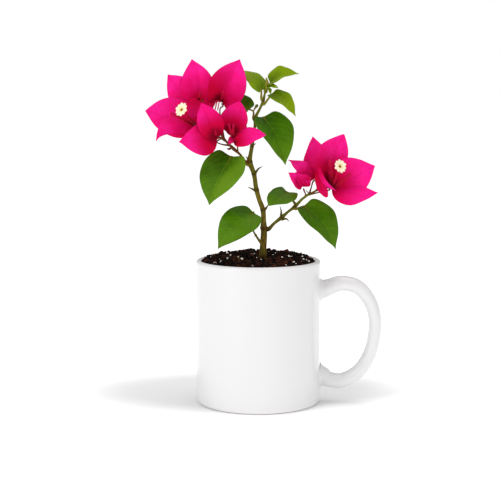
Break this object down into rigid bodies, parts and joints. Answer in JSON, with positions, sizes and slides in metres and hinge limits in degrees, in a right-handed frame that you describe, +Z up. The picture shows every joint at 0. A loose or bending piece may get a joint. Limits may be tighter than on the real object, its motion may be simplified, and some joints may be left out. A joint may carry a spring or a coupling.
{
  "type": "potted bougainvillea cutting",
  "caption": "Young bougainvillea in flower: a slender woody stem with heart-shaped leaves and magenta papery bracts, growing in a white glazed mug filled with potting mix.",
  "frame": {"origin": "centre of the mug's flat underside, on the mug's axis", "axes": "+Z up along the mug's axis, +X towards the mug's handle, the flowers face -Y"},
  "size_m": [0.154, 0.082, 0.2262],
  "materials": {
    "glazed_mug": "glossy white glaze",
    "potting_mix": "matt dark peat crumbs with white grit",
    "bark": "matt olive-brown young bark",
    "leaf": "satin dark green leaf",
    "young_leaf": "satin yellow-green young leaf",
    "bract": "papery magenta bract"
  },
  "bodies": {
    "root": {"mug": "glazed_mug", "potting_mix": "potting_mix", "stem_main": "bark", "branch_right": "bark", "flower_stalk_left": "bark", "leaf_lower_left": "leaf", "leaf_mid_left": "leaf", "leaf_upper_right": "leaf", "leaf_lower_right": "leaf", "leaf_centre": "leaf", "leaf_behind_flowers": "leaf", "leaf_top_right": "young_leaf", "leaf_top_left": "young_leaf", "leaf_side_right": "young_leaf", "shoot_tip": "young_leaf", "bloom_left_top": "bract", "bloom_left_outer": "bract", "bloom_left_high": "bract", "bloom_left_front": "bract", "bloom_left_inner": "bract", "bloom_right_large": "bract", "bloom_right_back": "bract", "bloom_right_small": "bract"}
  },
  "joints": []
}
